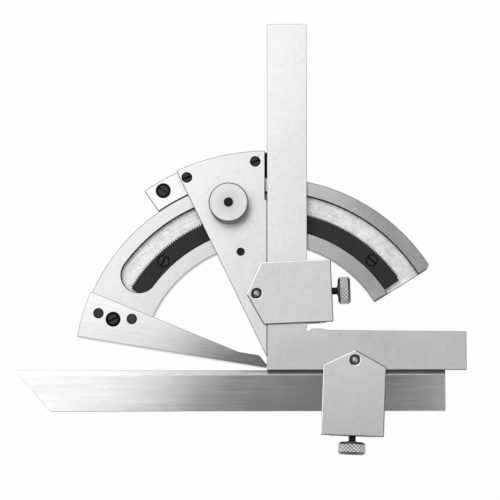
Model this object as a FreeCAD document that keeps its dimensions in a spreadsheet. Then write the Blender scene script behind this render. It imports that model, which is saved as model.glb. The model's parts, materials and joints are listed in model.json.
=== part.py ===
import FreeCAD, Part
import math
import os
import re
import Sketcher

# Universal bevel protractor: a toothed dial arc with a base blade fixed to its end, a sector
# that swings along the arc with its vernier, a square clamped to the sector and a ruler
# clamped to the square.
# Frame: origin at the centre of the angle, where the blade and the ruler meet. +X runs to the
# right and +Y up the standing arm of the square, +Z points out of the back, which carries the
# knob. z = 0 is the back face of the dial arc, on which the sector slides. Millimetres, degrees.

# name, value, what it is
SIZES = [
    # pose at rest
    ("rest_angle", 9.5, "angle between base blade and ruler"),
    ("square_drop", 0.8, "square stands this far below the apex"),
    ("ruler_left", 92.9, "ruler point, left of the apex"),
    ("frame_tilt", 2.3, "turn of each clamp frame on its stud"),
    # clearances
    ("slide_gap", 0.05, "between flat faces that slide"),
    ("rim_gap", 0.15, "between dial rim and vernier"),
    ("fit_gap", 0.03, "round a fixed pin, screw or edge"),
    ("run_gap", 0.05, "round a shaft that turns"),
    ("tip_gap", 0.15, "between blade tip and apex"),
    ("overcut", 1.0, "how far a cut runs out of the metal"),
    # dial arc
    ("arc_inner", 46.4, "inner radius of the dial"),
    ("arc_outer", 70.8, "outer radius of the dial"),
    ("dial_thick", 6.0, "thickness of the dial"),
    ("dial_right", 32.0, "angle of the free end"),
    ("dial_corner", 1.5, "rounded outer corner of the free end"),
    ("lap_end", 168.0, "how far the lap runs under the blade"),
    ("channel_inner", 52.2, "inner radius of the back channel"),
    ("channel_outer", 65.6, "outer radius of the back channel"),
    ("channel_depth", 3.0, "depth of the back channel"),
    ("channel_left", 143.8, "angle of the centre of the round end"),
    # base blade
    ("plate_thick", 4.0, "sector, square and blade behind the dial"),
    ("blade_reach", 70.9, "length of the measuring edge"),
    ("blade_rise", 1.5, "height of the tapered edge at the apex"),
    ("blade_taper", 12.8, "taper of the blade"),
    ("tip_cut", 40.0, "the tip is cut back to this wedge"),
    ("bar_high", 4.3, "bar in front, along the measuring edge"),
    ("bar_end", 3.75, "bar stops short of the apex"),
    ("nose_back", 1.1, "start of the fine nose"),
    ("nose_shoulder", 1.85, "height of the nose at its start"),
    ("nose_high", 1.6, "height of the nose at its tip"),
    ("nose_gap", 0.45, "nose stops short of the apex"),
    # screws and dowels of the blade
    ("blade_screw_x", 58.9, "along the blade"),
    ("blade_screw_y", 8.4, "above the measuring edge"),
    ("dowel_far_x", 64.6, "outer dowel along the blade"),
    ("dowel_far_y", 9.7, "outer dowel above the edge"),
    ("dowel_near_x", 52.1, "inner dowel along the blade"),
    ("dowel_near_y", 9.6, "inner dowel above the edge"),
    ("dowel_radius", 1.75, "blade dowels"),
    ("dowel_sink", 0.1, "dowel below the back face"),
    ("shank_radius", 1.5, "shank of the fixing screws"),
    ("screw_head", 2.0, "head radius of the blade screw"),
    ("screw_ring", 2.62, "counterbore radius of the blade screw"),
    ("head_high", 1.2, "height of the slotted heads"),
    ("head_sink", 0.25, "heads below the face around them"),
    ("slot_wide", 0.6, "screw slot"),
    ("slot_deep", 0.6, "screw slot"),
    ("front_skin", 1.0, "metal in front of the blind holes"),
    ("foot_gap", 0.2, "screw foot or pinion above the floor below it"),
    # rack and pinion
    ("module", 0.3, "tooth module"),
    ("rack_teeth", 392, "teeth of the full circle of the rack"),
    ("pinion_teeth", 20, "teeth of the pinion"),
    ("pressure_angle", 20.0, "of the teeth"),
    ("backlash", 0.04, "taken off each tooth at the pitch circle"),
    ("root_depth", 1.25, "tooth root below the pitch circle, in modules"),
    ("rack_right", 33.9, "angle of the right end"),
    ("rack_left", 149.5, "angle of the left end"),
    ("rack_thick", 2.5, "thickness of the rack"),
    ("rack_screw_at", 55.5, "radius of the rack screws"),
    ("rack_screw_right", 46.0, "angle of the right screw"),
    ("rack_screw_left", 134.0, "angle of the left screw"),
    ("rack_head", 1.85, "head radius"),
    ("rack_ring", 2.3, "counterbore radius"),
    # sector plate, angles counted from its right edge
    ("sector_over", 0.1, "how far it covers the vernier's rim"),
    ("sector_wide", 25.8, "angle of the left edge"),
    ("sector_foot", 1.6, "left edge passes the apex at this distance"),
    ("relief_from", 62.2, "start of the step in the right edge"),
    ("relief_deep", 0.75, "depth of the step"),
    ("pinion_at", 13.0, "angle of the pinion axis"),
    ("sector_screw_in", 3.8, "small screws inside the vernier's rim"),
    ("sector_screw_left", 22.8, "angle of the left small screw"),
    ("sector_screw_right", 3.25, "angle of the right small screw"),
    ("small_head", 1.75, "head radius of the small screws"),
    ("small_shank", 1.0, "shank radius of the small screws"),
    ("rib_inner", 60.0, "guide rib in the channel"),
    ("rib_side_gap", 0.1, "rib to channel wall"),
    ("rib_floor_gap", 0.3, "rib to channel floor"),
    ("rib_right", 1.0, "angle of the rib's right end"),
    ("rib_left", 8.8, "angle of the rib's left end"),
    # vernier
    ("vernier_wide", 9.35, "width of the ring outside the dial"),
    ("vernier_thick", 1.5, "thickness of the vernier plate"),
    ("vernier_right", 8.65, "runs this far right of the sector's edge"),
    ("vernier_left", 34.65, "runs this far left of the sector's edge"),
    ("vernier_screw_in", 3.7, "its screws inside its rim"),
    ("vernier_screw_left", 30.3, "angle of the left screw"),
    ("vernier_screw_right", 4.3, "angle of the right screw, to the right"),
    ("vernier_head", 2.08, "head radius"),
    ("vernier_ring", 2.58, "counterbore radius"),
    ("vernier_skin", 0.3, "metal in front of its blind holes"),
    # knob and pinion shaft
    ("pinion_high", 2.4, "face width of the pinion"),
    ("journal", 2.0, "shaft radius in the sector"),
    ("neck", 1.5, "shaft radius in the knob"),
    ("rivet", 0.7, "radius of the riveted shaft end"),
    ("rivet_sink", 0.1, "riveted end below the knob's face"),
    ("knob_radius", 7.3, "knob"),
    ("knob_high", 8.0, "knob"),
    ("knob_chamfer", 0.7, "knob"),
    ("knob_dimple", 1.65, "radius of the recess in the knob's face"),
    ("dimple_deep", 0.6, "depth of the recess"),
    ("knob_web", 0.8, "metal under the recess"),
    ("washer_thick", 0.35, "spring washer under the knob"),
    ("washer_radius", 3.6, "spring washer"),
    # brake
    ("brake_at", 43.9, "radius of the brake stud"),
    ("brake_angle", 12.8, "angle of the brake stud"),
    ("stud_back", 1.32, "stud radius in the sector"),
    ("stud_front", 1.75, "stud radius in the nut"),
    ("shoe_reach", 7.0, "half length of the shoe"),
    ("shoe_half", 4.5, "half width of the shoe"),
    ("shoe_thick", 2.0, "thickness of the shoe"),
    ("shoe_free", 0.1, "shoe to dial when loose"),
    ("heel_long", 2.8, "length of the heel"),
    ("brake_nut_radius", 6.5, "brake nut"),
    ("brake_nut_high", 5.0, "brake nut"),
    ("nut_chamfer", 0.6, "brake nut"),
    ("stud_proud", 0.8, "stud out of the nut"),
    # square
    ("arm_wide", 14.7, "standing arm"),
    ("arm_long", 128.7, "standing arm"),
    ("foot_long", 73.0, "lying arm"),
    ("foot_tip", 14.0, "height of the lying arm at its tip"),
    ("foot_root", 14.6, "height of the lying arm beside the land"),
    ("land_high", 15.1, "height of the small land in the corner"),
    ("land_end", 20.0, "end of the land"),
    ("land_slope", 2.1, "run-out of the land"),
    ("corner_relief", 0.9, "relief hole in the corner"),
    ("relief_shift", 0.5, "relief hole off the arm's edge"),
    # ruler
    ("ruler_long", 158.1, "ruler"),
    ("ruler_wide", 15.0, "ruler"),
    ("ruler_thick", 2.5, "ruler"),
    ("ruler_point", 49.2, "angle of the pointed end"),
    ("ruler_round", 1.6, "round behind the point"),
    ("bevel_wide", 1.9, "bevel of the measuring edge"),
    ("bevel_deep", 1.0, "bevel of the measuring edge"),
    # clamps
    ("sector_stud_x", 3.8, "stud left of the sector's right edge"),
    ("sector_stud_y", 27.2, "stud above the apex"),
    ("ruler_stud_x", 32.2, "stud right of the apex"),
    ("ruler_stud_y", 3.5, "stud above the square's lower edge"),
    ("frame_point", 3.7, "point of the frame beyond the stud"),
    ("frame_shoulder", 2.2, "shoulder of the frame behind the stud"),
    ("frame_half", 11.5, "half width of the frame"),
    ("frame_plate", 1.3, "thickness of each frame plate"),
    ("frame_room", 1.27, "open pad to end wall"),
    ("frame_wall", 5.0, "thickness of the end wall"),
    ("frame_corner", 3.0, "corners taken off the end wall and the front plate"),
    ("clamp_stud", 1.5, "stud radius"),
    ("stud_ring", 1.8, "recess round the stud"),
    ("ring_deep", 0.7, "recess round the stud"),
    ("stud_dome", 0.5, "dome over the back plate"),
    ("stud_nut_radius", 2.9, "nut in front"),
    ("stud_nut_high", 1.2, "nut in front"),
    ("pad_gap", 0.35, "pad to the edge that it holds"),
    ("pad_thick", 2.6, "pad"),
    ("pad_half", 6.0, "half width of the pad"),
    ("pad_side_gap", 0.25, "pad to the frame plates"),
    ("socket_deep", 0.9, "socket for the screw in the pad"),
    ("thumb_shank", 1.45, "radius of the thread"),
    ("thumb_neck", 1.3, "radius of the neck"),
    ("neck_long", 2.1, "neck between wall and head"),
    ("neck_sink", 0.5, "start of the neck inside the wall"),
    ("thumb_radius", 5.2, "head"),
    ("thumb_high", 4.6, "head"),
    ("thumb_chamfer", 1.0, "head"),
    ("thumb_boss", 2.3, "radius of the boss under the head"),
    ("boss_high", 0.4, "boss under the head"),
]

doc = FreeCAD.newDocument("bevel_protractor")
sheet = doc.addObject("Spreadsheet::Sheet", "sizes")
for row, (name, value, meaning) in enumerate(SIZES, 1):
    sheet.set("A%d" % row, name)
    sheet.set("B%d" % row, str(value))
    sheet.set("C%d" % row, meaning)
    sheet.setAlias("B%d" % row, name)
doc.recompute()
NAMES = {name for name, value, meaning in SIZES}
UP = FreeCAD.Vector(0, 0, 1)


def bound(expression):
    # the same words, as another object of the document reads them
    return re.sub(r"[a-z_]+", lambda word: "sizes." * (word.group() in NAMES) + word.group(), expression)


def size(expression):
    result = sheet.evalExpression(expression)
    return float(getattr(result, "Value", result))


def body_at(label, x="0", y="0", z="0", turn="0"):
    body = doc.addObject("PartDesign::Body", label)
    body.Label = label
    place(body, x, y, z, turn)
    return body


def place(thing, x="0", y="0", z="0", turn="0"):
    thing.Placement = FreeCAD.Placement(FreeCAD.Vector(0, 0, 0), FreeCAD.Rotation(UP, 0))
    for path, expression in (("Base.x", x), ("Base.y", y), ("Base.z", z), ("Rotation.Angle", turn)):
        if expression != "0":
            thing.setExpression("Placement." + path, bound(expression))


def sketch_on(body, name, role="XY_Plane", height="0", turn="0"):
    sketch = body.newObject("Sketcher::SketchObject", name)
    plane = next(feature for feature in body.Origin.OriginFeatures if feature.Role == role)
    sketch.AttachmentSupport = [(plane, "")]
    sketch.MapMode = "FlatFace"
    if height != "0":
        sketch.setExpression("AttachmentOffset.Base.z", bound(height))
    if turn != "0":
        sketch.AttachmentOffset = FreeCAD.Placement(FreeCAD.Vector(0, 0, 0), FreeCAD.Rotation(UP, 0))
        sketch.setExpression("AttachmentOffset.Rotation.Angle", bound(turn))
    return sketch


def hold(sketch, kind, geometry, point, expression):
    index = sketch.addConstraint(Sketcher.Constraint(kind, -1, 1, geometry, point, size(expression)))
    sketch.setExpression("Constraints[%d]" % index, bound(expression))


def outline(sketch, corners):
    # closed outline through corners (x, y), or (x, y, centre x, centre y, way) where an arc
    # leaves the corner. A corner at which an arc arrives is held by one coordinate, since the
    # arc's centre and radius hold the other.
    spots = [FreeCAD.Vector(size(corner[0]), size(corner[1]), 0) for corner in corners]
    leaves = []
    arrives = []
    for here, corner in enumerate(corners):
        start, end = spots[here], spots[(here + 1) % len(corners)]
        if len(corner) == 2:
            edge = sketch.addGeometry(Part.LineSegment(start, end))
            leaves.append((edge, 1))
            arrives.append((edge, 2))
            continue
        centre = FreeCAD.Vector(size(corner[2]), size(corner[3]), 0)
        circle = Part.Circle(centre, UP, (start - centre).Length)
        first, last = (start, end) if corner[4] == "ccw" else (end, start)
        angles = [math.atan2(spot.y - centre.y, spot.x - centre.x) for spot in (first, last)]
        edge = sketch.addGeometry(Part.ArcOfCircle(circle, *angles))
        leaves.append((edge, 1 if corner[4] == "ccw" else 2))
        arrives.append((edge, 2 if corner[4] == "ccw" else 1))
        hold(sketch, "DistanceX", edge, 3, corner[2])
        hold(sketch, "DistanceY", edge, 3, corner[3])
    for here, corner in enumerate(corners):
        sketch.addConstraint(Sketcher.Constraint("Coincident", *arrives[here - 1], *leaves[here]))
        before = corners[here - 1]
        kinds = ["DistanceX", "DistanceY"]
        if len(before) == 5:
            centre = FreeCAD.Vector(size(before[2]), size(before[3]), 0)
            away = spots[here] - centre
            kinds = ["DistanceX"] if abs(away.y) > abs(away.x) else ["DistanceY"]
        for kind in kinds:
            hold(sketch, kind, *leaves[here], corner[0] if kind == "DistanceX" else corner[1])


def box_outline(sketch, left, right, low, high):
    outline(sketch, [(left, low), (right, low), (right, high), (left, high)])


def circles(sketch, holes):
    for x, y, radius in holes:
        centre = FreeCAD.Vector(size(x), size(y), 0)
        edge = sketch.addGeometry(Part.Circle(centre, UP, size(radius)))
        hold(sketch, "DistanceX", edge, 3, x)
        hold(sketch, "DistanceY", edge, 3, y)
        index = sketch.addConstraint(Sketcher.Constraint("Radius", edge, size(radius)))
        sketch.setExpression("Constraints[%d]" % index, bound(radius))


def pad(body, sketch, length, down=False):
    feature = body.newObject("PartDesign::Pad", sketch.Name + "_pad")
    feature.Profile = sketch
    feature.Reversed = down
    feature.setExpression("Length", bound(length))


def pocket(body, sketch, length, forward=False):
    feature = body.newObject("PartDesign::Pocket", sketch.Name + "_pocket")
    feature.Profile = sketch
    feature.Reversed = forward
    feature.setExpression("Length", bound(length))


def revolve(body, sketch, angle="360", axis="V_Axis", cut=False):
    kind = "PartDesign::Groove" if cut else "PartDesign::Revolution"
    feature = body.newObject(kind, sketch.Name + "_turned")
    feature.Profile = sketch
    feature.ReferenceAxis = (sketch, [axis])
    feature.setExpression("Angle", bound(angle))


def drill(body, name, holes, top, depth, turn="0"):
    sketch = sketch_on(body, name, height=top, turn=turn)
    circles(sketch, holes)
    pocket(body, sketch, depth)


def polar(radius, angle):
    return "%s * cos(%s)" % (radius, angle), "%s * sin(%s)" % (radius, angle)


def shared(label, bodies):
    # one node of like pieces
    group = doc.addObject("Part::Compound", label)
    group.Label = label
    group.Links = bodies
    return group


def slotted_screw(label, x, y, head, shank, head_top, foot, slot_turn):
    screw = body_at(label, x, y, turn=slot_turn)
    profile = sketch_on(screw, label + "_half", role="XZ_Plane")
    under = "%s - head_high" % head_top
    corners = [("0", foot), (shank, foot), (shank, under), (head, under), (head, head_top), ("0", head_top)]
    outline(profile, corners)
    revolve(screw, profile)
    slot = sketch_on(screw, label + "_slot", height=head_top)
    box_outline(slot, "-%s - overcut" % head, "%s + overcut" % head, "-slot_wide / 2", "slot_wide / 2")
    pocket(screw, slot, "slot_deep")
    return screw


# Radii that the sector, the vernier and their screws share, and the foot of the screws in
# the blind holes of the dial.
VERNIER_RIM = "(arc_outer + rim_gap + vernier_wide)"
VERNIER_SCREWS = "(%s - vernier_screw_in)" % VERNIER_RIM
SECTOR_SCREWS = "(%s - sector_screw_in)" % VERNIER_RIM
SECTOR_RIM = "(%s + sector_over)" % VERNIER_RIM
BLIND_FOOT = "front_skin + foot_gap - dial_thick"


# Dial arc, turned so that its local X axis is at its free end.
def make_main_scale():
    body = body_at("main_scale", turn="dial_right")
    section = sketch_on(body, "dial_section", role="XZ_Plane")
    box_outline(section, "arc_inner", "arc_outer", "-dial_thick", "0")
    revolve(body, section, "lap_end - dial_right")
    channel = sketch_on(body, "channel_section", role="XZ_Plane")
    box_outline(channel, "channel_inner", "channel_outer", "-channel_depth", "overcut")
    revolve(body, channel, "channel_left - dial_right", cut=True)
    middle = polar("(channel_inner + channel_outer) / 2", "channel_left - dial_right")
    end = [(*middle, "(channel_outer - channel_inner) / 2")]
    drill(body, "channel_end", end, "0", "channel_depth")
    across = "sqrt((arc_outer - dial_corner) ^ 2 - dial_corner ^ 2)"
    grow = "arc_outer / (arc_outer - dial_corner)"
    corner = sketch_on(body, "rounded_corner")
    outline(corner, [
        (across, "0", across, "dial_corner", "ccw"),
        ("%s * %s" % (across, grow), "dial_corner * %s" % grow),
        ("arc_outer + overcut", "dial_corner * %s" % grow),
        ("arc_outer + overcut", "-overcut"),
        (across, "-overcut"),
    ])
    pocket(body, corner, "dial_thick")
    # the lap stops at the bar of the blade
    along_blade = "180 - rest_angle - dial_right"
    lap = sketch_on(body, "lap_edge", turn=along_blade)
    box_outline(lap, "arc_inner / 2", "arc_outer + overcut", "-bar_high - fit_gap", "arc_inner / 2")
    pocket(body, lap, "dial_thick")
    screw = [("blade_screw_x", "-blade_screw_y", "shank_radius + fit_gap")]
    drill(body, "lap_screw_hole", screw, "0", "dial_thick - front_skin", turn=along_blade)
    dowels = [
        ("dowel_far_x", "-dowel_far_y", "dowel_radius + fit_gap"),
        ("dowel_near_x", "-dowel_near_y", "dowel_radius + fit_gap"),
    ]
    drill(body, "lap_dowel_holes", dowels, "0", "dial_thick - front_skin", turn=along_blade)
    holes = [
        (*polar("rack_screw_at", "rack_screw_right - dial_right"), "small_shank + fit_gap"),
        (*polar("rack_screw_at", "rack_screw_left - dial_right"), "small_shank + fit_gap"),
    ]
    drill(body, "rack_screw_holes", holes, "-channel_depth", "dial_thick - channel_depth - front_skin")
    return body


# Base blade. Its local X axis runs against the measuring edge, which is y = 0.
TAPER = "tan(blade_taper)"
WEDGE = "tan(tip_cut)"
BLADE_TOP = "((sqrt(blade_reach ^ 2 * (1 + {0} ^ 2) - blade_rise ^ 2) - blade_rise * {0}) / (1 + {0} ^ 2))".format(TAPER)
WEDGE_TOP = "((blade_rise + tip_gap * {1}) / ({1} - {0}))".format(TAPER, WEDGE)


def make_base_blade():
    body = body_at("base_blade", turn="-rest_angle")
    plate = sketch_on(body, "blade_outline")
    outline(plate, [
        ("-blade_reach", "0", "0", "0", "cw"),
        ("-" + BLADE_TOP, "blade_rise + %s * %s" % (BLADE_TOP, TAPER)),
        ("-" + WEDGE_TOP, "blade_rise + %s * %s" % (WEDGE_TOP, TAPER)),
        ("-tip_gap", "0"),
    ])
    pad(body, plate, "plate_thick")
    bar = sketch_on(body, "bar_outline")
    outline(bar, [
        ("-blade_reach", "0", "0", "0", "cw"),
        ("-sqrt(blade_reach ^ 2 - bar_high ^ 2)", "bar_high"),
        ("-bar_end", "bar_high"),
        ("-nose_back", "nose_shoulder"),
        ("-nose_gap", "nose_high"),
        ("-nose_gap", "0"),
    ])
    pad(body, bar, "dial_thick", down=True)
    screw = [("-blade_screw_x", "blade_screw_y", "shank_radius + fit_gap")]
    drill(body, "blade_screw_hole", screw, "plate_thick", "plate_thick")
    ring = [("-blade_screw_x", "blade_screw_y", "screw_ring")]
    drill(body, "blade_screw_ring", ring, "plate_thick", "head_high + head_sink")
    dowels = [
        ("-dowel_far_x", "dowel_far_y", "dowel_radius + fit_gap"),
        ("-dowel_near_x", "dowel_near_y", "dowel_radius + fit_gap"),
    ]
    drill(body, "blade_dowel_holes", dowels, "plate_thick", "plate_thick")
    return body


def on_blade(x, y):
    # a spot given along and above the measuring edge, in the frame of the whole object
    left = "-(%s) * cos(rest_angle) + (%s) * sin(rest_angle)" % (x, y)
    return left, "(%s) * sin(rest_angle) + (%s) * cos(rest_angle)" % (x, y)


def make_blade_fixings():
    spot = on_blade("blade_screw_x", "blade_screw_y")
    top = "plate_thick - head_sink"
    screw = slotted_screw("base_blade_screw", *spot, "screw_head", "shank_radius", top, BLIND_FOOT, "25")
    dowels = []
    for number, (x, y) in enumerate((("dowel_far_x", "dowel_far_y"), ("dowel_near_x", "dowel_near_y")), 1):
        dowel = body_at("blade_dowel_%d" % number, *on_blade(x, y), z=BLIND_FOOT)
        round_face = sketch_on(dowel, "dowel_round_%d" % number)
        circles(round_face, [("0", "0", "dowel_radius")])
        pad(dowel, round_face, "plate_thick - dowel_sink - (%s)" % BLIND_FOOT)
        dowels.append(dowel)
    return screw, shared("base_blade_dowels", dowels)


# Involute teeth. The tooth's half angle at a radius comes from its thickness at the pitch
# circle and from the involute function.
def involute(angle):
    return math.tan(angle) - angle


def tooth_flank(teeth):
    pitch = size("module") * teeth / 2
    base = pitch * math.cos(math.radians(size("pressure_angle")))
    root = pitch - size("root_depth * module")
    tip = pitch + size("module")
    half_at_pitch = (math.pi * size("module") / 2 - size("backlash")) / 2 / pitch
    flank = []
    for radius in (root, (root + pitch) / 2, pitch, (pitch + tip) / 2, tip):
        angle = math.acos(min(1, base / radius))
        half = half_at_pitch + involute(math.acos(base / pitch)) - involute(angle)
        flank.append((radius, half))
    return flank


def toothed_edge(teeth, first, count, start):
    # points along count teeth, counter-clockwise. The first tooth is centred on start degrees
    # plus first pitches.
    flank = tooth_flank(teeth)
    spots = []
    for number in range(first, first + count):
        centre = math.radians(start) + number * 2 * math.pi / teeth
        sides = [(radius, centre - half) for radius, half in flank]
        sides += [(radius, centre + half) for radius, half in reversed(flank)]
        spots += [FreeCAD.Vector(radius * math.cos(turn), radius * math.sin(turn), 0) for radius, turn in sides]
    return spots


def ring_sector(inner, outer, low, high, right, left):
    # annular sector between two angles in degrees
    across = [FreeCAD.Vector(inner, 0, low), FreeCAD.Vector(outer, 0, low)]
    across += [FreeCAD.Vector(outer, 0, high), FreeCAD.Vector(inner, 0, high)]
    face = Part.Face(Part.makePolygon(across + across[:1]))
    ring = face.revolve(FreeCAD.Vector(0, 0, 0), UP, left - right)
    ring.rotate(FreeCAD.Vector(0, 0, 0), UP, right)
    return ring


def make_rack():
    teeth = int(size("rack_teeth"))
    pitch = 360 / teeth
    floor = -size("channel_depth")
    thick = size("rack_thick")
    right, left = size("rack_right"), size("rack_left")
    inner = size("channel_inner + fit_gap")
    # a tooth gap of the rack faces the pinion at rest
    aim = size("90 + pinion_at") + pitch / 2
    first = math.ceil((right - aim) / pitch + 1)
    last = math.floor((left - aim) / pitch - 1)
    spots = toothed_edge(teeth, first, last - first + 1, aim)
    root = tooth_flank(teeth)[0][0]
    near = root / 2
    for turn, radius in ((left, root), (left, near), (right, near), (right, root)):
        turn = math.radians(turn)
        spots.append(FreeCAD.Vector(radius * math.cos(turn), radius * math.sin(turn), 0))
    face = Part.Face(Part.makePolygon(spots + spots[:1]))
    face.translate(FreeCAD.Vector(0, 0, floor))
    blank = face.extrude(FreeCAD.Vector(0, 0, thick))
    # the inner edge follows the channel and its round end
    middle = size("(channel_inner + channel_outer) / 2")
    centre_turn = size("channel_left")
    centre_at = math.radians(centre_turn)
    centre = FreeCAD.Vector(middle * math.cos(centre_at), middle * math.sin(centre_at), floor)
    round_end = Part.makeCylinder(middle - inner, thick, centre)
    run = ring_sector(inner, 2 * middle - inner, floor, floor + thick, size("dial_right"), centre_turn)
    rack = blank.common(run.fuse(round_end))
    for place_name in ("rack_screw_right", "rack_screw_left"):
        turn = math.radians(size(place_name))
        spot = FreeCAD.Vector(math.cos(turn), math.sin(turn), 0) * size("rack_screw_at")
        spot.z = floor
        rack = rack.cut(Part.makeCylinder(size("small_shank + fit_gap"), thick, spot))
        spot.z = floor + thick - size("head_high + head_sink")
        rack = rack.cut(Part.makeCylinder(size("rack_ring"), thick, spot))
    feature = doc.addObject("Part::Feature", "rack")
    feature.Shape = rack.Solids[0] if len(rack.Solids) == 1 else rack
    return feature


def make_rack_screws():
    screws = []
    top = "rack_thick - channel_depth - head_sink"
    for number, (side, slot) in enumerate((("rack_screw_right", "-40"), ("rack_screw_left", "62")), 1):
        name = "rack_screw_%d" % number
        foot = BLIND_FOOT
        spot = polar("rack_screw_at", side)
        screws.append(slotted_screw(name, *spot, "rack_head", "small_shank", top, foot, slot))
    return shared("rack_screws", screws)


# Sector plate, with its guide rib in the channel of the dial.
FOOT_X = "sector_foot * cos(sector_wide)"
EDGE_RUN = "sqrt(%s ^ 2 - sector_foot ^ 2)" % SECTOR_RIM
RELIEF_X = "-fit_gap - relief_deep"


def make_sector_plate():
    body = body_at("sector_plate")
    plate = sketch_on(body, "sector_outline", height="slide_gap")
    outline(plate, [
        ("-fit_gap", "(sector_foot + fit_gap * cos(sector_wide)) / sin(sector_wide)"),
        ("-fit_gap", "relief_from"),
        (RELIEF_X, "relief_from"),
        (RELIEF_X, "sqrt(%s ^ 2 - (fit_gap + relief_deep) ^ 2)" % SECTOR_RIM, "0", "0", "ccw"),
        (
            "%s - %s * sin(sector_wide)" % (FOOT_X, EDGE_RUN),
            "sector_foot * sin(sector_wide) + %s * cos(sector_wide)" % EDGE_RUN,
        ),
    ])
    pad(body, plate, "plate_thick - slide_gap")
    rib = sketch_on(body, "rib_outline", height="slide_gap")
    rib_outer = "(channel_outer - rib_side_gap)"
    outline(rib, [
        polar("rib_inner", "90 + rib_right"),
        (*polar(rib_outer, "90 + rib_right"), "0", "0", "ccw"),
        polar(rib_outer, "90 + rib_left"),
        (*polar("rib_inner", "90 + rib_left"), "0", "0", "cw"),
    ])
    pad(body, rib, "channel_depth - rib_floor_gap + slide_gap", down=True)
    depth = "plate_thick - slide_gap"
    bores = [
        (*polar("module * (rack_teeth + pinion_teeth) / 2", "90 + pinion_at"), "journal + run_gap"),
        (*polar("brake_at", "90 + brake_angle"), "stud_back + fit_gap"),
        ("-sector_stud_x", "sector_stud_y", "clamp_stud + fit_gap"),
        (*polar(SECTOR_SCREWS, "90 + sector_screw_left"), "small_shank + fit_gap"),
        (*polar(SECTOR_SCREWS, "90 + sector_screw_right"), "small_shank + fit_gap"),
    ]
    drill(body, "sector_bores", bores, "plate_thick", depth)
    heads = [
        (*polar(SECTOR_SCREWS, "90 + sector_screw_left"), "small_head + run_gap"),
        (*polar(SECTOR_SCREWS, "90 + sector_screw_right"), "small_head + run_gap"),
    ]
    drill(body, "sector_head_seats", heads, "plate_thick", "head_high + head_sink")
    return body


def make_sector_screws():
    screws = []
    foot = "vernier_thick + front_skin - dial_thick"
    for number, side in enumerate(("sector_screw_left", "sector_screw_right"), 1):
        spot = polar(SECTOR_SCREWS, "90 + " + side)
        name = "sector_screw_%d" % number
        top = "plate_thick - head_sink"
        screws.append(slotted_screw(name, *spot, "small_head", "small_shank", top, foot, "20"))
    return shared("sector_screws", screws)


# Vernier and its carrier, turned so that their local X axis is at their right end.
def vernier_part(label, low, high):
    body = body_at(label, turn="90 - vernier_right")
    section = sketch_on(body, label + "_section", role="XZ_Plane")
    box_outline(section, "arc_outer + rim_gap", VERNIER_RIM, low, high)
    revolve(body, section, "vernier_right + vernier_left")
    return body


def vernier_spots(radius):
    left = polar(VERNIER_SCREWS, "vernier_screw_left + vernier_right")
    right = polar(VERNIER_SCREWS, "vernier_right - vernier_screw_right")
    return [(*left, radius), (*right, radius)]


def make_vernier():
    carrier = vernier_part("vernier_carrier", "vernier_thick - dial_thick", "slide_gap")
    thick = "dial_thick - vernier_thick + slide_gap"
    drill(carrier, "carrier_screw_holes", vernier_spots("shank_radius + fit_gap"), "slide_gap", thick)
    drill(carrier, "carrier_head_seats", vernier_spots("vernier_ring"), "slide_gap", "head_high + head_sink")
    small = [
        (*polar(SECTOR_SCREWS, "vernier_right + " + side), "small_shank + fit_gap")
        for side in ("sector_screw_left", "sector_screw_right")
    ]
    drill(carrier, "carrier_small_holes", small, "slide_gap", thick)
    plate = vernier_part("vernier_plate", "-dial_thick", "vernier_thick - dial_thick")
    depth = "vernier_thick - vernier_skin"
    drill(plate, "vernier_holes", vernier_spots("shank_radius + fit_gap"), "vernier_thick - dial_thick", depth)
    screws = []
    for number, angle in enumerate(("90 + vernier_screw_left", "90 - vernier_screw_right"), 1):
        name = "vernier_screw_%d" % number
        spot = polar(VERNIER_SCREWS, angle)
        top = "slide_gap - head_sink"
        foot = "vernier_skin + foot_gap - dial_thick"
        screws.append(slotted_screw(name, *spot, "vernier_head", "shank_radius", top, foot, "-35"))
    return carrier, plate, shared("vernier_screws", screws)


# Pinion, its shaft, the knob riveted to it and the spring washer between knob and sector.
PINION_SPOT = polar("module * (rack_teeth + pinion_teeth) / 2", "90 + pinion_at")
KNOB_FOOT = "plate_thick + washer_thick"


def make_pinion_shaft():
    low = size("foot_gap - channel_depth")
    teeth = int(size("pinion_teeth"))
    # a tooth points at the centre of the rack
    spots = toothed_edge(teeth, 0, teeth, size("270 + pinion_at"))
    face = Part.Face(Part.makePolygon(spots + spots[:1]))
    face.translate(FreeCAD.Vector(0, 0, low))
    shaft = face.extrude(FreeCAD.Vector(0, 0, size("pinion_high")))
    knob_top = size(KNOB_FOOT + " + knob_high")
    under_web = knob_top - size("dimple_deep + knob_web")
    steps = [("journal", size(KNOB_FOOT)), ("neck", under_web), ("rivet", knob_top - size("rivet_sink"))]
    for radius, top in steps:
        spot = FreeCAD.Vector(0, 0, low)
        shaft = shaft.fuse(Part.makeCylinder(size(radius), top - low, spot))
    feature = doc.addObject("Part::Feature", "pinion_shaft")
    feature.Shape = shaft.removeSplitter()
    place(feature, *PINION_SPOT)
    return feature


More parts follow.
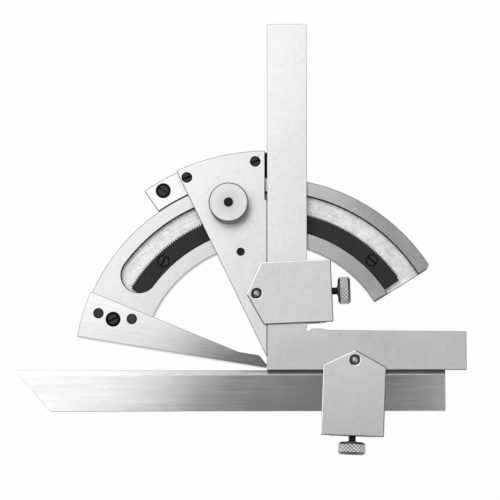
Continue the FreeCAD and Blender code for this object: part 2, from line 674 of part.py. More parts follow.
def make_knob():
    body = body_at("knob", *PINION_SPOT, z=KNOB_FOOT)
    profile = sketch_on(body, "knob_half", role="XZ_Plane")
    web_top = "knob_high - dimple_deep"
    web_foot = web_top + " - knob_web"
    outline(profile, [
        ("neck + fit_gap", "0"),
        ("knob_radius - knob_chamfer", "0"),
        ("knob_radius", "knob_chamfer"),
        ("knob_radius", "knob_high - knob_chamfer"),
        ("knob_radius - knob_chamfer", "knob_high"),
        ("knob_dimple", "knob_high"),
        ("knob_dimple", web_top),
        ("rivet + fit_gap", web_top),
        ("rivet + fit_gap", web_foot + " + fit_gap"),
        ("neck + fit_gap", web_foot + " + fit_gap"),
    ])
    revolve(body, profile)
    washer = body_at("knob_washer", *PINION_SPOT, z="plate_thick")
    ring = sketch_on(washer, "washer_round")
    circles(ring, [("0", "0", "washer_radius"), ("0", "0", "journal + run_gap")])
    pad(washer, ring, "washer_thick - slide_gap")
    return body, washer


# Brake in front: the shoe bridges from the sector to the inner rim of the dial.
BRAKE_SPOT = polar("brake_at", "90 + brake_angle")
SHOE_TOP = "-dial_thick - shoe_free"
NUT_TOP = SHOE_TOP + " - shoe_thick - washer_thick - fit_gap"


def make_brake():
    stud = body_at("brake_stud", *BRAKE_SPOT)
    half = sketch_on(stud, "stud_half", role="XZ_Plane")
    outline(half, [
        ("0", NUT_TOP + " - brake_nut_high - stud_proud"),
        ("stud_front", NUT_TOP + " - brake_nut_high - stud_proud"),
        ("stud_front", "slide_gap"),
        ("stud_back", "slide_gap"),
        ("stud_back", "plate_thick - dowel_sink"),
        ("0", "plate_thick - dowel_sink"),
    ])
    revolve(stud, half)
    shoe = body_at("brake_shoe", *BRAKE_SPOT, turn="90 + brake_angle")
    plate = sketch_on(shoe, "shoe_outline", height=SHOE_TOP)
    outline(plate, [
        ("-shoe_reach", "-shoe_half"),
        ("shoe_reach - shoe_half", "-shoe_half", "shoe_reach - shoe_half", "0", "ccw"),
        ("shoe_reach - shoe_half", "shoe_half"),
        ("-shoe_reach", "shoe_half"),
    ])
    pad(shoe, plate, "shoe_thick", down=True)
    heel = sketch_on(shoe, "heel_outline", height=SHOE_TOP)
    box_outline(heel, "-shoe_reach", "heel_long - shoe_reach", "-shoe_half", "shoe_half")
    pad(shoe, heel, "dial_thick")
    drill(shoe, "shoe_bore", [("0", "0", "stud_front + run_gap")], SHOE_TOP, "shoe_thick")
    washer = body_at("brake_washer", *BRAKE_SPOT)
    ring = sketch_on(washer, "brake_ring", height=SHOE_TOP + " - shoe_thick")
    circles(ring, [("0", "0", "washer_radius"), ("0", "0", "stud_front + run_gap")])
    pad(washer, ring, "washer_thick", down=True)
    nut = body_at("brake_nut", *BRAKE_SPOT)
    side = sketch_on(nut, "nut_half", role="XZ_Plane")
    low = NUT_TOP + " - brake_nut_high"
    outline(side, [
        ("stud_front + run_gap", low),
        ("brake_nut_radius - nut_chamfer", low),
        ("brake_nut_radius", low + " + nut_chamfer"),
        ("brake_nut_radius", NUT_TOP + " - nut_chamfer"),
        ("brake_nut_radius - nut_chamfer", NUT_TOP),
        ("stud_front + run_gap", NUT_TOP),
    ])
    revolve(nut, side)
    return stud, shoe, washer, nut


# Square, drawn from its own outer corner.
def make_square():
    body = body_at("square", y="-square_drop")
    plate = sketch_on(body, "square_outline", height="slide_gap")
    outline(plate, [
        ("0", "0"),
        ("foot_long", "0"),
        ("foot_long", "foot_tip"),
        ("land_end + land_slope", "foot_root"),
        ("land_end", "land_high"),
        ("arm_wide", "land_high"),
        ("arm_wide", "arm_long"),
        ("0", "arm_long"),
    ])
    pad(body, plate, "plate_thick - slide_gap")
    holes = [
        ("arm_wide + relief_shift", "land_high", "corner_relief"),
        ("ruler_stud_x", "ruler_stud_y", "clamp_stud + fit_gap"),
    ]
    drill(body, "square_holes", holes, "plate_thick", "plate_thick")
    return body


# Ruler, drawn from its point.
def make_ruler():
    body = body_at("ruler", "-ruler_left", "-square_drop - fit_gap", "(plate_thick - ruler_thick) / 2")
    plate = sketch_on(body, "ruler_outline")
    foot = "ruler_wide / tan(ruler_point)"
    # the round touches the slanted end and the lower edge
    back = "ruler_round * tan((180 - ruler_point) / 2) ^ -1"
    outline(plate, [
        ("0", "0"),
        ("(%s) - (%s) * cos(ruler_point)" % (foot, back), "(%s) * sin(ruler_point) - ruler_wide" % back,
         "(%s) + (%s)" % (foot, back), "ruler_round - ruler_wide", "ccw"),
        ("(%s) + (%s)" % (foot, back), "-ruler_wide"),
        ("ruler_long", "-ruler_wide"),
        ("ruler_long", "0"),
    ])
    pad(body, plate, "ruler_thick")
    bevel = sketch_on(body, "bevel_section", role="YZ_Plane")
    outline(bevel, [
        ("-bevel_wide", "ruler_thick"),
        ("0", "ruler_thick - bevel_deep"),
        ("overcut", "ruler_thick - bevel_deep"),
        ("overcut", "ruler_thick"),
    ])
    pocket(body, bevel, "ruler_long", forward=True)
    return body


# A clamp, drawn from its stud with its local X axis towards the thumbscrew. reach is the
# distance from the stud to the edge that the pad presses on.
CLAMP_ROOF = "(plate_thick + slide_gap)"
CLAMP_FLOOR = "(-slide_gap)"


def make_clamp(name, x, y, turn, reach):
    near = "(%s) / cos(frame_tilt) + pad_gap" % reach
    far = "%s + pad_thick + frame_room + frame_wall" % near
    frame = body_at(name + "_frame", x, y, turn=turn)
    back = sketch_on(frame, name + "_back_plate", height=CLAMP_ROOF)
    outline(back, [
        ("-frame_point", "0"),
        ("frame_shoulder", "-frame_half"),
        (far, "-frame_half"),
        (far, "frame_half"),
        ("frame_shoulder", "frame_half"),
    ])
    pad(frame, back, "frame_plate")
    # wall and front plate have their corners taken off, to clear the rim of the dial
    end = [
        (far + " - frame_corner", "-frame_half"),
        (far, "frame_corner - frame_half"),
        (far, "frame_half - frame_corner"),
        (far + " - frame_corner", "frame_half"),
    ]
    wall = sketch_on(frame, name + "_wall", height=CLAMP_FLOOR)
    outline(wall, [(far + " - frame_wall", "-frame_half"), *end, (far + " - frame_wall", "frame_half")])
    pad(frame, wall, CLAMP_ROOF + " - " + CLAMP_FLOOR)
    front = sketch_on(frame, name + "_front_plate", height=CLAMP_FLOOR)
    outline(front, [("-frame_point", "0"), ("frame_shoulder", "-frame_half"), *end, ("frame_shoulder", "frame_half")])
    pad(frame, front, "frame_plate", down=True)
    back_face = CLAMP_ROOF + " + frame_plate"
    deep = "plate_thick + 2 * slide_gap + 2 * frame_plate"
    drill(frame, name + "_stud_hole", [("0", "0", "clamp_stud + run_gap")], back_face, deep)
    drill(frame, name + "_stud_ring", [("0", "0", "stud_ring")], back_face, "ring_deep")
    bore = sketch_on(frame, name + "_screw_bore", role="YZ_Plane", height=far)
    circles(bore, [("0", "plate_thick / 2", "thumb_shank + run_gap")])
    pocket(frame, bore, "frame_wall")

    stud = body_at(name + "_stud", x, y)
    half = sketch_on(stud, name + "_stud_half", role="XZ_Plane")
    nut_top = CLAMP_FLOOR + " - frame_plate - slide_gap"
    top = "(%s)" % back_face
    dome = "((clamp_stud ^ 2 + stud_dome ^ 2) / (2 * stud_dome))"
    outline(half, [
        ("0", nut_top + " - stud_nut_high"),
        ("clamp_stud", nut_top + " - stud_nut_high"),
        ("clamp_stud", top, "0", "%s + stud_dome - %s" % (top, dome), "ccw"),
        ("0", top + " + stud_dome"),
    ])
    revolve(stud, half)
    nut = body_at(name + "_nut", x, y)
    ring = sketch_on(nut, name + "_nut_round", height=nut_top)
    circles(ring, [("0", "0", "stud_nut_radius"), ("0", "0", "clamp_stud + fit_gap")])
    pad(nut, ring, "stud_nut_high", down=True)
    slot = sketch_on(nut, name + "_nut_slot", height=nut_top + " - stud_nut_high")
    box_outline(slot, "-stud_nut_radius - overcut", "stud_nut_radius + overcut", "-slot_wide / 2", "slot_wide / 2")
    pocket(nut, slot, "slot_deep", forward=True)

    pad_body = body_at(name + "_pad", x, y, turn=turn)
    block = sketch_on(pad_body, name + "_pad_outline", height=CLAMP_FLOOR + " + pad_side_gap")
    box_outline(block, near, near + " + pad_thick", "-pad_half", "pad_half")
    pad(pad_body, block, "plate_thick + 2 * slide_gap - 2 * pad_side_gap")
    socket = sketch_on(pad_body, name + "_socket", role="YZ_Plane", height=near + " + pad_thick")
    circles(socket, [("0", "plate_thick / 2", "thumb_shank + run_gap")])
    pocket(pad_body, socket, "socket_deep")

    screw = body_at(name + "_screw", x, y, "plate_thick / 2", turn)
    turned = sketch_on(screw, name + "_screw_half")
    tip = near + " + pad_thick - socket_deep"
    neck_from = far + " - neck_sink"
    head = far + " + neck_long"
    end = head + " + thumb_high"
    outline(turned, [
        (tip, "0"),
        (end, "0"),
        (end, "thumb_radius - thumb_chamfer"),
        (end + " - thumb_chamfer", "thumb_radius"),
        (head + " + thumb_chamfer", "thumb_radius"),
        (head, "thumb_radius - thumb_chamfer"),
        (head, "thumb_boss"),
        (head + " - boss_high", "thumb_neck"),
        (neck_from, "thumb_neck"),
        (neck_from, "thumb_shank"),
        (tip, "thumb_shank"),
    ])
    revolve(screw, turned, axis="H_Axis")
    return frame, stud, nut, pad_body, screw


def check(nodes):
    for thing in doc.Objects:
        faults = [state for state in thing.State if state in ("Invalid", "Error")]
        if faults:
            raise RuntimeError("%s failed: %s" % (thing.Name, thing.State))
        if thing.TypeId in ("PartDesign::Pocket", "PartDesign::Groove"):
            if thing.Shape.Volume > thing.BaseFeature.Shape.Volume - 1e-3:
                raise RuntimeError("%s cuts nothing" % thing.Name)
    for node in nodes:
        if node.Shape.isNull() or not node.Shape.isValid() or not node.Shape.Solids:
            raise RuntimeError("%s has no valid solid" % node.Label)


def main():
    nodes = [make_main_scale(), make_base_blade(), *make_blade_fixings(), make_rack(), make_rack_screws()]
    nodes += [make_sector_plate(), make_sector_screws(), *make_vernier()]
    nodes += [make_pinion_shaft(), *make_knob(), *make_brake(), make_square(), make_ruler()]
    nodes += make_clamp("sector_clamp", "-sector_stud_x", "sector_stud_y", "frame_tilt",
                        "sector_stud_x + arm_wide")
    nodes += make_clamp("ruler_clamp", "ruler_stud_x", "ruler_stud_y - square_drop", "-90 - frame_tilt",
                        "ruler_stud_y + fit_gap + ruler_wide")
    doc.recompute()
    check(nodes)
    os.makedirs("parts", exist_ok=True)
    for node in nodes:
        node.Shape.exportStep("parts/%s.step" % node.Label)
    print("%d nodes" % len(nodes))


main()
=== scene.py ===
import json
import math

import bpy
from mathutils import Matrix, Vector

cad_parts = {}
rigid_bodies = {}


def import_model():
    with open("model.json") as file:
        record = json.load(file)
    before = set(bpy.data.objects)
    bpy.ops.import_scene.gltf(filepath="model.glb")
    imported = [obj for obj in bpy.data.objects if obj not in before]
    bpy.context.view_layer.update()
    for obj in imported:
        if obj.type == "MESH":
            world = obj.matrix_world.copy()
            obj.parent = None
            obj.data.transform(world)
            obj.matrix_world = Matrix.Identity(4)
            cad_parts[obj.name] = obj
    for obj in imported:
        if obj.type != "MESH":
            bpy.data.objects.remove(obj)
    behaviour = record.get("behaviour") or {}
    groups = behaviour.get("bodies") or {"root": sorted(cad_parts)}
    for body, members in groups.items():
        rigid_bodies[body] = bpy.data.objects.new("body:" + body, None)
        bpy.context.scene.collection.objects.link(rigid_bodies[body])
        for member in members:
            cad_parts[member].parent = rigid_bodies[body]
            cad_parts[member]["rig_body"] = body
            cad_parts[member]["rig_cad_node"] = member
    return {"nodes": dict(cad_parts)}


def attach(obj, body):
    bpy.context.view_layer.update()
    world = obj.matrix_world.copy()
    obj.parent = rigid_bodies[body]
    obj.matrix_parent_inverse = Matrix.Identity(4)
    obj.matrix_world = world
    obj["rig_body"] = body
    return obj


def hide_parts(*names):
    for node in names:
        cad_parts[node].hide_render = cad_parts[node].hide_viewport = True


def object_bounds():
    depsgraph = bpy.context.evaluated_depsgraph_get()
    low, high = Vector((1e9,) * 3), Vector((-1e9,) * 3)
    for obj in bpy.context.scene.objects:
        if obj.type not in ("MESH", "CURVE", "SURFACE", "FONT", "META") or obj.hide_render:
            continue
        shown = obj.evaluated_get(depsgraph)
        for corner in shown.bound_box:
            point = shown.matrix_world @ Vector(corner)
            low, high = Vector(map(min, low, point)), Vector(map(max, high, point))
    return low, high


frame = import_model()
cadBox = [list(corner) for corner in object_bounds()]
nodes = frame["nodes"]
mm = 0.001
print("frame loaded:", len(nodes), "nodes")


# Shader maths
class Wire:  # a socket that Python operators can reach
    def __init__(self, tree, socket):
        self.tree = tree
        self.socket = socket

    def maths(self, operation, first, second):
        node = self.tree.nodes.new("ShaderNodeMath")
        node.operation = operation
        connect(self.tree, node.inputs[0], first)
        connect(self.tree, node.inputs[1], second)
        return Wire(self.tree, node.outputs[0])

    def __add__(self, other):
        return self.maths("ADD", self, other)

    def __sub__(self, other):
        return self.maths("SUBTRACT", self, other)

    def __rsub__(self, other):
        return self.maths("SUBTRACT", other, self)

    def __mul__(self, other):
        return self.maths("MULTIPLY", self, other)

    def __truediv__(self, other):
        return self.maths("DIVIDE", self, other)

    __radd__ = __add__
    __rmul__ = __mul__

    def atLeast(self, other):
        return self.maths("MAXIMUM", self, other)

    def step(self, low, high):  # 0 below low, 1 above high, straight between
        ratio = (self - low) / (high - low)
        return ratio.maths("MINIMUM", ratio.atLeast(0.0), 1.0)


def connect(tree, socket, value):
    if isinstance(value, Wire):
        tree.links.new(value.socket, socket)
    else:
        socket.default_value = value


bumpStrength, bumpDepth = 0.15, 0.02 * mm


class Board:  # the node tree of one material
    def __init__(self, name):
        self.material = bpy.data.materials.new(name)
        self.material.use_nodes = True
        self.tree = self.material.node_tree
        self.tree.nodes.clear()

    def node(self, kind, settings=None, sockets=None, out=0):
        made = self.tree.nodes.new("ShaderNode" + kind)
        for key, value in (settings or {}).items():
            setattr(made, key, value)
        for key, value in (sockets or {}).items():
            connect(self.tree, made.inputs[key], value)
        return Wire(self.tree, made.outputs[out])

    def coords(self, scale=(1, 1, 1), turn=0.0, centre=(0, 0, 0)):
        spot = self.node("TexCoord", out="Object")
        spot = self.node("VectorMath", {"operation": "SUBTRACT"}, {0: spot, 1: centre})
        spot = self.node("Mapping", {"vector_type": "POINT"},
                         {"Vector": spot, "Rotation": (0, 0, -turn)})
        return self.node("VectorMath", {"operation": "MULTIPLY"}, {0: spot, 1: scale})

    def noise(self, where, scale, detail, rough=0.5, warp=0.0):  # scale is in cells to a metre
        return self.node("TexNoise", None, {
            "Vector": where, "Scale": scale, "Detail": detail, "Roughness": rough,
            "Distortion": warp})

    def grey(self, tone, colour):
        parts = zip(("Red", "Green", "Blue"), colour)
        return self.node("CombineColor", None, {name: tone * part for name, part in parts})

    def metal(self, tone, look, rough, height):
        bump = self.node("Bump", None, {"Strength": bumpStrength, "Distance": bumpDepth,
                                        "Height": height})
        return self.finish(self.node("BsdfPrincipled", None, {
            "Base Color": self.grey(tone, look["colour"]), "Metallic": look.get("metallic", 1.0),
            "Roughness": rough, "Normal": bump,
            "Specular IOR Level": look.get("specular", 0.5)}))

    def finish(self, shader):
        output = self.tree.nodes.new("ShaderNodeOutputMaterial")
        self.tree.links.new(shader.socket, output.inputs["Surface"])
        return self.material


# Ground steel: cloudy tone, fine lines from the grinding wheel, a few pits and scratches.
# This is what it has where a finish says nothing else.
groundBase = {
    "grain": (60, 1500, 300), "turn": 0.0, "stretch": (1, 1, 1),
    "cloudScale": 55.0, "pitScale": 900.0, "mottleScale": 520.0,
    "cloud": 0.18, "lineTone": 0.09, "mottle": 0.26, "pitTone": 0.35, "nickTone": 0.10,
    "cloudRough": 0.10, "lineRough": 0.07, "pitRough": 0.2,
}


def groundSteel(name, ownLook):
    look = {**groundBase, **ownLook}
    board = Board(name)
    cloud = board.noise(board.coords(), look["cloudScale"], 3.0, 0.6)
    lines = board.noise(board.coords(look["grain"], look["turn"]), 1.0, 6.0, 0.7)
    pits = board.noise(board.coords(centre=(0.31, 0.17, 0.05)), look["pitScale"], 1.0, 0.4)
    pits = pits.step(0.76, 0.84)
    nick = board.noise(board.coords((260, 2400, 260), 0.9), 1.0, 1.0, 0.4).step(0.73, 0.79)
    mottle = board.noise(board.coords(look["stretch"], look["turn"]), look["mottleScale"],
                         4.0, 0.75)
    cloudy, lined = cloud - 0.5, lines - 0.5
    tone = 1 + cloudy * look["cloud"] + lined * look["lineTone"]
    tone = tone + (mottle - 0.5) * look["mottle"]
    if "shade" in look:  # painted shade: the tone is lowered below a height, standing in for the light falling off towards the bottom
        low, high, amount = look["shade"]
        height = board.node("SeparateXYZ", None, {"Vector": board.coords()}, out="Y")
        tone = tone * (1 - amount + height.step(low * mm, high * mm) * amount)
    tone = tone * (1 - pits * look["pitTone"]) * (1 + nick * look["nickTone"])
    rough = look["rough"] + cloudy * look["cloudRough"] + lined * look["lineRough"]
    rough = rough + pits * look["pitRough"]
    return board.metal(tone, look, rough, lines * 0.6 + cloud * 0.4 - pits)


latheRings, cutterArcs = 2600.0, 900.0  # cells of noise to a metre of radius


# Steel turned on a lathe: rings round the axis at centre
def turnedSteel(name, look):
    board = Board(name)
    flat = board.coords((1, 1, 0), centre=look["centre"])
    radius = board.node("VectorMath", {"operation": "LENGTH"}, {0: flat}, out="Value")
    ring = board.node("CombineXYZ", None, {"X": radius * latheRings})
    lines = board.noise(ring, 1.0, 3.0, 0.6)
    cloud = board.noise(board.coords(), 220.0, 3.0)
    tone = 0.86 + radius.step(2.5 * mm, 5.5 * mm) * 0.16
    tone = tone + (lines - 0.5) * 0.40 + (cloud - 0.5) * 0.20
    rough = look["rough"] + (lines - 0.5) * 0.15 + (cloud - 0.5) * 0.08
    return board.metal(tone, look, rough, lines)


# Knurled steel: painted shade in the valleys and a painted highlight on the crests, their tone
# varied by a noise
def knurledSteel(name, look):
    board = Board(name)
    spot = board.coords(turn=look.get("turn", 0.0), centre=look["centre"])
    across = board.node("VectorMath", {"operation": "MULTIPLY"}, {0: spot, 1: look["across"]})
    radius = board.node("VectorMath", {"operation": "LENGTH"}, {0: across}, out="Value")
    crest = radius.step(look["valley"] * mm, look["crest"] * mm)
    grime = board.noise(board.coords(), 900.0, 3.0, 0.6)
    # valleys take the painted shade tone, crests rise to the full colour as a painted highlight
    tone = look["valleyShade"] + crest * (1 - look["valleyShade"]) * (0.75 + grime * 0.5)
    rough = look["rough"] + 0.25 - crest * 0.25 + (grime - 0.5) * 0.2
    return board.metal(tone, look, rough, grime)


# Blackened steel: nearly black, with thin worn spots
def blackSteel(name, look):
    board = Board(name)
    cloud = board.noise(board.coords(), 160.0, 4.0, 0.65)
    fine = board.noise(board.coords(), 1500.0, 2.0, 0.5)
    worn = board.noise(board.coords(centre=(0.2, 0.4, 0.1)), 420.0, 5.0, 0.7).step(0.62, 0.80)
    tone = 0.75 + cloud * 0.5 + worn * look.get("wear", 1.2)
    rough = look["rough"] + (fine - 0.5) * 0.2 - worn * 0.1
    return board.metal(tone, look, rough, fine + cloud)


# The milled floor of the channel: cloudy arcs left by the cutter
def milledSteel(name, look):
    board = Board(name)
    flat = board.coords((1, 1, 0))
    radius = board.node("VectorMath", {"operation": "LENGTH"}, {0: flat}, out="Value")
    wander = board.noise(board.coords(), 90.0, 3.0, 0.6)
    path = board.node("CombineXYZ", None, {"X": radius * cutterArcs + wander * 6.0,
                                           "Y": wander * 3.0})
    arcs = board.noise(path, 1.0, 3.0, 0.6)
    swirl = board.noise(board.coords(), 240.0, 4.0, 0.65, 1.5)
    speck = board.noise(board.coords(), 900.0, 3.0, 0.7)
    tone = 1 + (arcs - 0.5) * 0.45 + (swirl - 0.5) * 0.70
    tone = tone + (wander - 0.5) * 0.3 + (speck - 0.5) * 0.6
    rough = look["rough"] + (swirl - 0.5) * 0.2
    return board.metal(tone, look, rough, arcs + swirl)


knobSpot = (-13.9 * mm, 60.22 * mm, 0)
brakeRadius, brakeAngle = 43.9, math.radians(102.8)
brakeSpot = (brakeRadius * math.cos(brakeAngle) * mm, brakeRadius * math.sin(brakeAngle) * mm, 0)
# the shade entries are painted shade: heights in mm below which the tone is lowered, and by how
# much
finishLooks = {
    "dialFace": {"make": groundSteel, "colour": (0.56, 0.56, 0.56), "rough": 0.22,
                 "grain": (900, 90, 300)},
    "plateFace": {"make": groundSteel, "colour": (0.74, 0.74, 0.735), "rough": 0.31,
                  "grain": (1400, 70, 300)},
    "sectorFace": {"make": groundSteel, "colour": (0.72, 0.72, 0.715), "rough": 0.33,
                   "grain": (900, 70, 300)},
    "squareFace": {"make": groundSteel, "colour": (0.74, 0.74, 0.735), "rough": 0.33,
                   "grain": (1400, 70, 300), "shade": (8, 40, 0.20)},
    "rimSteel": {"make": groundSteel, "colour": (0.66, 0.66, 0.655), "rough": 0.36},
    # painted highlight on the clamps' bevels that face up and to the left
    "edgeHighlight": {"make": groundSteel, "colour": (0.95, 0.95, 0.95), "rough": 0.30},
    "bladeFace": {"make": groundSteel, "colour": (0.55, 0.55, 0.55), "rough": 0.15,
                  "grain": (45, 1600, 300), "cloudRough": 0.04, "lineRough": 0.06,
                  "lineTone": 0.26, "mottle": 0.34, "stretch": (0.07, 1.3, 1),
                  "nickTone": 0.25},
    # the ruler's bevel: a rougher grind, with a brighter colour that is a painted reflection
    "bladeEdgeSheen": {"make": groundSteel, "colour": (0.73, 0.73, 0.73), "rough": 0.25,
                  "grain": (45, 1600, 300)},
    "baseBladeFace": {"make": groundSteel, "colour": (0.535, 0.535, 0.535), "rough": 0.125,
                      "grain": (50, 1500, 300), "turn": -0.166, "cloudRough": 0.06,
                      "lineTone": 0.18, "stretch": (0.2, 1.2, 1), "shade": (11, 25, 0.13)},
    "clampFace": {"make": groundSteel, "colour": (0.65, 0.65, 0.65), "rough": 0.46,
                  "grain": (300, 500, 300), "lineTone": 0.05, "cloud": 0.12,
                  "shade": (-24, 10, 0.18)},
    "studTop": {"make": turnedSteel, "colour": (0.36, 0.36, 0.36), "rough": 0.34,
                "centre": (0, 0, 0)},
    # painted shade: the nearly black rings round clamp holes and studs, and the vernier
    # carrier's edges
    "ringShade": {"make": groundSteel, "colour": (0.12, 0.12, 0.12), "rough": 0.40},
    # painted shade: nearly black steel on bevels and sides, for the shade along edges
    "edgeShade": {"make": groundSteel, "colour": (0.11, 0.11, 0.11), "rough": 0.34},
    # painted shade: for the square's sides facing -Y, the base blade's bevels and low back
    # facet, and the ends of the thumbscrew heads
    "sideShade": {"make": groundSteel, "colour": (0.16, 0.16, 0.16), "rough": 0.40},
    # black for the printed scale lines and figures, and painted shade in the channel walls, hole
    # walls, screw slots and dowel edges
    "printAndShadeBlack": {"make": blackSteel, "colour": (0.006, 0.006, 0.006), "rough": 0.6,
                  "metallic": 0.0, "wear": 0.4, "specular": 0.15},
    "channelFloor": {"make": milledSteel, "colour": (0.76, 0.76, 0.755), "rough": 0.42},
    # bare cut flanks of the blackened teeth, brighter than the other steel: a painted highlight
    # that lightens the gaps
    "toothSteel": {"make": groundSteel, "colour": (0.85, 0.85, 0.84), "rough": 0.5},
    "rackBlack": {"make": blackSteel, "colour": (0.026, 0.026, 0.027), "rough": 0.50,
                  "metallic": 0.7},
    "screwBlack": {"make": blackSteel, "colour": (0.014, 0.014, 0.014), "rough": 0.5,
                   "metallic": 0.3, "wear": 1.0, "specular": 0.2},
    "screwTop": {"make": blackSteel, "colour": (0.040, 0.040, 0.041), "rough": 0.42,
                 "metallic": 0.9, "wear": 5.0},
    "dowelGrey": {"make": blackSteel, "colour": (0.045, 0.045, 0.045), "rough": 0.42,
                  "wear": 7.0},
    "knobFace": {"make": turnedSteel, "colour": (0.64, 0.64, 0.635), "rough": 0.30,
                 "centre": knobSpot},
    # painted shade on the knob's chamfers, an outline round its edge
    "knobRimShade": {"make": turnedSteel, "colour": (0.28, 0.28, 0.28), "rough": 0.36,
                "centre": knobSpot},
    "nutFace": {"make": turnedSteel, "colour": (0.60, 0.60, 0.595), "rough": 0.30,
                "centre": brakeSpot},
}
finishes = {name: look["make"](name, look) for name, look in finishLooks.items()}
print("finishes made:", len(finishes))


# Small modelling helpers
def pickOnly(thing):
    bpy.ops.object.select_all(action="DESELECT")
    thing.select_set(True)
    bpy.context.view_layer.objects.active = thing


def paint(piece, finishNames, chooser=None):
    # the first finish is for the whole piece, the others for the faces that chooser names
    piece.data.materials.clear()
    for name in finishNames:
        piece.data.materials.append(finishes[name])
    if chooser:
        for face in piece.data.polygons:
            face.material_index = chooser(face.center / mm, face.normal)


def enter(piece, body, replaced=()):
    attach(piece, body)
    if replaced:
        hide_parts(*replaced)


weldGap = 2e-6
flatAngle, cornerAngle, smoothAngle = math.radians(0.3), math.radians(30), math.radians(24)


def dressed(node, look):
    # the CAD node's own shape, with its edges broken as a stone leaves them
    pickOnly(nodes[node])
    bpy.ops.object.duplicate()
    piece = bpy.context.active_object
    piece.name = look["name"]
    body = piece["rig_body"]
    piece.parent = None
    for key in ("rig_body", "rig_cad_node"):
        del piece[key]
    bpy.ops.mesh.customdata_custom_splitnormals_clear()
    bpy.ops.object.mode_set(mode="EDIT")
    bpy.ops.mesh.select_all(action="SELECT")
    bpy.ops.mesh.remove_doubles(threshold=weldGap)
    bpy.ops.mesh.dissolve_limited(angle_limit=flatAngle)
    bpy.ops.object.mode_set(mode="OBJECT")
    if look["edge"]:
        bevel = piece.modifiers.new("edge", "BEVEL")
        bevel.width = look["edge"] * mm
        bevel.segments = 2
        bevel.limit_method = "ANGLE"
        bevel.angle_limit = cornerAngle
        bevel.loop_slide = False
        bevel.use_clamp_overlap = False
        bpy.ops.object.modifier_apply(modifier="edge")
    bpy.ops.object.shade_smooth_by_angle(angle=smoothAngle)
    # flat faces stay flat beside their bevels
    evened = piece.modifiers.new("evened", "WEIGHTED_NORMAL")
    evened.keep_sharp = True
    evened.weight = 100
    bpy.ops.object.modifier_apply(modifier="evened")
    paint(piece, look["finish"], look["chooser"])
    enter(piece, body, (node,))


# Which finish a face takes, from its place in millimetres and its normal
flatLimit, uprightLimit = 0.94, 0.35  # the share of the normal that points along Z
channel = {"floor": -3.0, "near": 51.5, "far": 66.5}
studSpots = {"sector": (-3.8, 27.2), "ruler": (32.2, 2.7)}
studRadius = 0.95
pitchRadius = 58.8

# Back holes whose walls and rims get black or near-black painted shade: x, y, radius, level of
# the face round them
plateTop, dialTop, clampTop = 3.98, 0.0, 5.3
holes = [(-56.71, 18.01, 2.75, plateTop), (-62.11, 20.23, 1.95, plateTop),
         (-49.8, 18.07, 1.95, plateTop), (-29.64, 70.52, 2.05, plateTop),
         (-4.34, 76.38, 2.05, plateTop), (-38.65, 66.14, 2.75, dialTop),
         (5.74, 76.38, 2.75, dialTop), (-9.73, 42.81, 1.6, plateTop)]
holes += [(x, y, 1.98, clampTop) for x, y in studSpots.values()]
holeDeep = 4.5
headTops = (3.75, -0.2, -0.75)  # the slots and sides below them get black painted shade


def upright(normal):
    return abs(normal.z) < uprightLimit


def inHole(centre, normal):
    return normal.z > -0.9 and any(
        (centre.xy - Vector((x, y))).length < radius and top - holeDeep < centre.z < top
        for x, y, radius, top in holes)


def onEdges(centre, normal):
    # bevels and sides take the second finish, a painted edge shade
    return 1 if abs(normal.z) < flatLimit else 0


def onPlate(centre, normal):
    if upright(normal):
        # upright faces facing -Y take the painted side shade
        return 2 if normal.y < -0.5 else 3
    return onEdges(centre, normal)


def onDial(centre, normal):
    if abs(centre.z - channel["floor"]) < 0.3 and normal.z > 0.9:
        return 2
    # the channel's walls and their bevels take the black painted shade
    inChannel = centre.z < -0.02 and channel["near"] < centre.xy.length < channel["far"]
    if inChannel and -0.5 < normal.z < flatLimit:
        return 3
    return 4 if upright(normal) else onEdges(centre, normal)


def withHoles(centre, normal):
    return 2 if inHole(centre, normal) else onEdges(centre, normal)


def onBaseBlade(centre, normal):
    if inHole(centre, normal):
        return 2
    if upright(normal):
        return 3
    # the low back facet of the bar takes the painted side shade
    return 1 if centre.z < 0.2 and normal.z > 0.9 else onEdges(centre, normal)


def onRuler(centre, normal):
    # the bevel faces take the painted reflection
    return 2 if 0.80 < abs(normal.z) < 0.97 else onEdges(centre, normal)


def onClamp(centre, normal):
    if inHole(centre, normal):
        return 2
    # bevels facing up and to the left take the painted highlight
    lit = 0.8 < normal.z < flatLimit and normal.y - normal.x > 0.2
    return 3 if lit else onEdges(centre, normal)


def onStud(centre, normal):
    near = any((centre.xy - Vector(spot)).length < studRadius for spot in studSpots.values())
    # all but the stud's top take the painted ring shade
    return 0 if near and centre.z > 0 else 1


def onRack(centre, normal):
    # the tooth flanks take the painted highlight
    return 1 if upright(normal) and centre.xy.length > pitchRadius else 0


def onScrewHead(centre, normal):
    atTop = any(abs(centre.z - top) < 0.05 for top in headTops)
    return 0 if normal.z > 0.95 and atTop else 1


